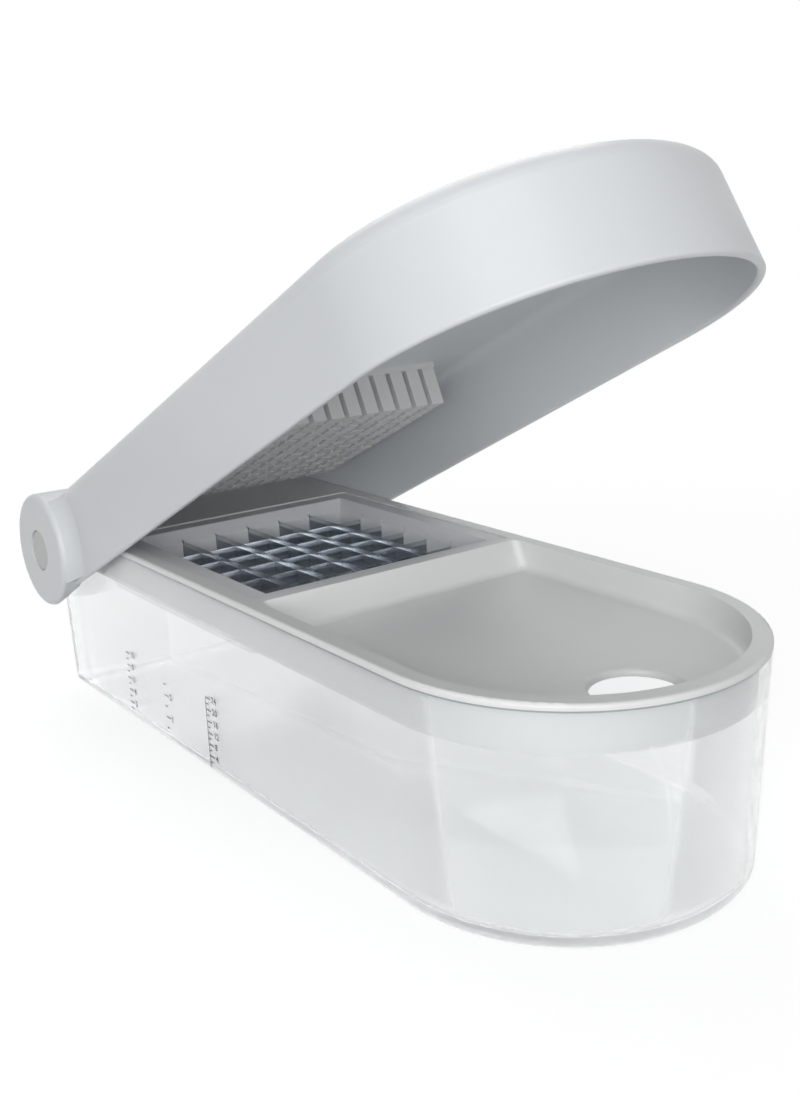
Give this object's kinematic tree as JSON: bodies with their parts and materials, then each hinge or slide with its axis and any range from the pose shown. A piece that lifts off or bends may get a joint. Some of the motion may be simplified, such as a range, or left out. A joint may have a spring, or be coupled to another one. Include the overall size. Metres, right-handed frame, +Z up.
{
  "type": "vegetable dicer",
  "caption": "Push-down vegetable dicer: clear D-ended catch container, drop-in frame with pouring tray and crossed blade grid, hinged press lid with a block of square tines",
  "frame": {"origin": "middle of the container's flat underside", "axes": "+Z up, +X from the hinge to the round end, +Y to the left of someone who looks along +X"},
  "size_m": [0.2656, 0.1202, 0.175],
  "materials": {
    "clear_plastic": "clear polished",
    "frame_plastic": "satin",
    "insert_plastic": "fine matte",
    "blade_steel": "ground and polished",
    "lid_plastic": "satin",
    "pusher_plastic": "satin",
    "pin_steel": "turned"
  },
  "bodies": {
    "container": {"container": "clear_plastic"},
    "frame": {"base_frame": "frame_plastic", "blade_frame": "insert_plastic", "blade_retainer": "insert_plastic", "lengthwise_blade_1": "blade_steel", "lengthwise_blade_2": "blade_steel", "lengthwise_blade_3": "blade_steel", "lengthwise_blade_4": "blade_steel", "lengthwise_blade_5": "blade_steel", "crosswise_blade_1": "blade_steel", "crosswise_blade_2": "blade_steel", "crosswise_blade_3": "blade_steel", "crosswise_blade_4": "blade_steel", "crosswise_blade_5": "blade_steel"},
    "lid": {"press_lid": "lid_plastic", "pusher": "pusher_plastic", "hinge_pin_left": "pin_steel", "hinge_pin_right": "pin_steel", "hinge_cap_left": "lid_plastic", "hinge_cap_right": "lid_plastic"}
  },
  "joints": [
    {"name": "frame_lift", "type": "slide", "parent": "container", "child": "frame", "axis": [0, 0, 1], "range_m": [0, 0.08]},
    {"name": "lid_hinge", "type": "hinge", "parent": "frame", "child": "lid", "pos_m": [-0.11925, 0, 0.0524], "axis": [0, -1, 0], "range_deg": [-26.4, 63.6]}
  ]
}
